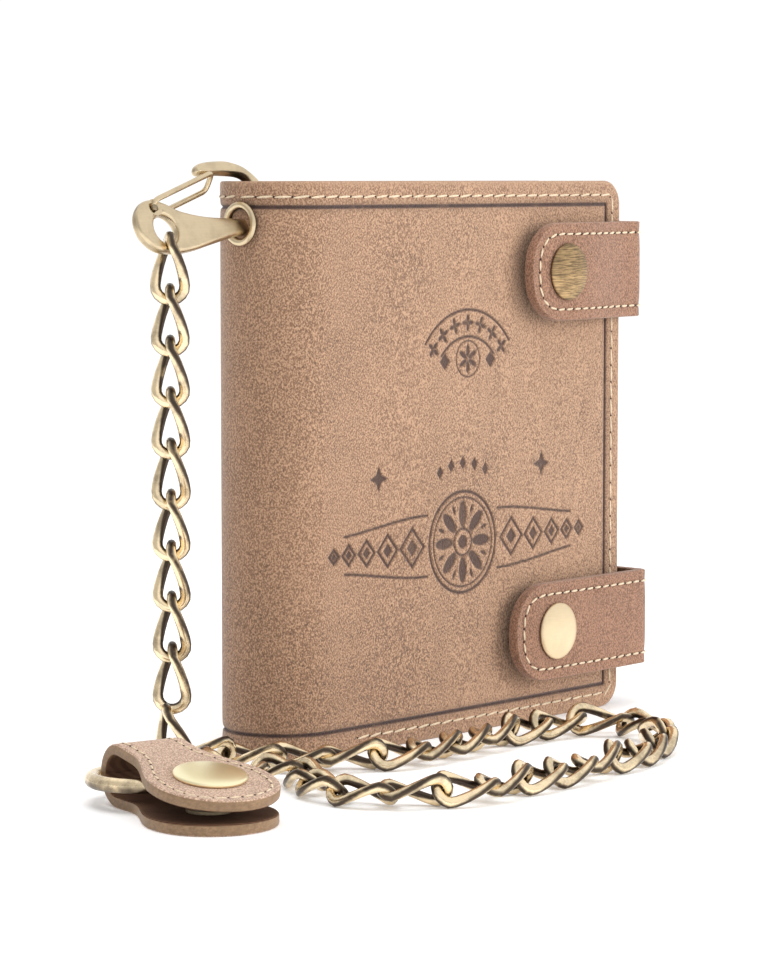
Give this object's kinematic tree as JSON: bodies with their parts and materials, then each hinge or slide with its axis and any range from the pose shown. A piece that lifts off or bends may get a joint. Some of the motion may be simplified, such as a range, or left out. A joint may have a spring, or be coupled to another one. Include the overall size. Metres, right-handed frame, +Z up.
{
  "type": "chain wallet",
  "caption": "Upright leather wallet closed by two snap straps, with a curb chain from a snap hook in the spine's eyelet to a ring and a snap-closed belt tab.",
  "frame": {"origin": "on the standing surface, under the middle of the wallet with its straps, the chain and its fittings not counted", "axes": "+X from the spine to the free edge, -Y the way the front cover looks, +Z up"},
  "size_m": [0.1843, 0.0887, 0.1247],
  "materials": {
    "cover_leather": "matte nubuck",
    "strap_leather": "matte nubuck",
    "lining": "matte",
    "antique_brass": "brushed antique",
    "dark_brass": "dark antique"
  },
  "bodies": {
    "front_half": {"front_cover": "cover_leather", "spine_cover": "cover_leather", "front_lining": "lining", "front_gusset": "lining", "front_inner_panel": "strap_leather", "card_pocket_1": "strap_leather", "card_pocket_2": "strap_leather", "card_pocket_3": "strap_leather", "upper_snap_stud": "dark_brass", "upper_snap_post": "dark_brass", "lower_snap_stud": "dark_brass", "lower_snap_post": "dark_brass", "eyelet_barrel": "antique_brass", "eyelet_washer": "antique_brass", "hook_body": "antique_brass", "chain_link_01": "antique_brass", "chain_link_02": "antique_brass", "chain_link_03": "antique_brass", "chain_link_04": "antique_brass", "chain_link_05": "antique_brass", "chain_link_06": "antique_brass", "chain_link_07": "antique_brass", "chain_link_08": "antique_brass", "chain_link_09": "antique_brass", "chain_link_10": "antique_brass", "chain_floor_run": "antique_brass", "chain_end_link": "antique_brass", "key_ring": "antique_brass", "tab_lower_leaf": "strap_leather", "tab_fold": "strap_leather", "tab_snap_stud": "dark_brass", "tab_snap_post": "dark_brass"},
    "back_half": {"back_cover": "cover_leather", "back_lining": "lining", "back_gusset": "lining", "back_inner_panel": "strap_leather", "coin_pocket": "strap_leather", "coin_pocket_gusset": "lining", "coin_pocket_flap": "strap_leather", "upper_strap_anchor": "strap_leather", "lower_strap_anchor": "strap_leather"},
    "upper_wrap": {"upper_strap_wrap": "strap_leather"},
    "upper_flap": {"upper_strap_flap": "strap_leather", "upper_strap_flap_lining": "lining", "upper_snap_cap": "antique_brass", "upper_snap_socket": "dark_brass"},
    "lower_wrap": {"lower_strap_wrap": "strap_leather"},
    "lower_flap": {"lower_strap_flap": "strap_leather", "lower_strap_flap_lining": "lining", "lower_snap_cap": "antique_brass", "lower_snap_socket": "dark_brass"},
    "gate": {"hook_gate": "antique_brass"},
    "tab_flap": {"tab_upper_leaf": "strap_leather", "tab_upper_lining": "lining", "tab_snap_cap": "antique_brass", "tab_snap_socket": "dark_brass"}
  },
  "joints": [
    {"name": "wallet_open", "type": "hinge", "parent": "front_half", "child": "back_half", "pos_m": [-0.0451, 0.01429, 0.06], "axis": [0, 0, 1], "range_deg": [0, 26]},
    {"name": "upper_wrap_fold", "type": "hinge", "parent": "back_half", "child": "upper_wrap", "pos_m": [0.05635, 0.01282, 0.1], "axis": [0, 0, 1], "range_deg": [0, 89]},
    {"name": "upper_flap_fold", "type": "hinge", "parent": "upper_wrap", "child": "upper_flap", "pos_m": [0.05635, -0.01055, 0.1], "axis": [0, 0, 1], "range_deg": [0, 89]},
    {"name": "lower_wrap_fold", "type": "hinge", "parent": "back_half", "child": "lower_wrap", "pos_m": [0.05635, 0.01282, 0.0204], "axis": [0, 0, 1], "range_deg": [0, 89]},
    {"name": "lower_flap_fold", "type": "hinge", "parent": "lower_wrap", "child": "lower_flap", "pos_m": [0.05635, -0.01055, 0.0204], "axis": [0, 0, 1], "range_deg": [0, 89]},
    {"name": "gate_spring", "type": "hinge", "parent": "front_half", "child": "gate", "pos_m": [-0.0822, 0.00268, 0.11429], "axis": [0, 0.9063, -0.4226], "range_deg": [0, 20], "stiffness_Nm_per_rad": 0.01, "springref_deg": -5.73},
    {"name": "tab_unsnap", "type": "hinge", "parent": "front_half", "child": "tab_flap", "pos_m": [-0.10685, -0.02211, 0.0125], "axis": [-0.9703, 0.2419, 0], "range_deg": [0, 120]}
  ],
  "couplings": [
    {"joint": "upper_wrap_fold", "follows": "wallet_open", "ratio": 3.4},
    {"joint": "upper_flap_fold", "follows": "wallet_open", "ratio": 3.4},
    {"joint": "lower_wrap_fold", "follows": "wallet_open", "ratio": 3.4},
    {"joint": "lower_flap_fold", "follows": "wallet_open", "ratio": 3.4}
  ]
}
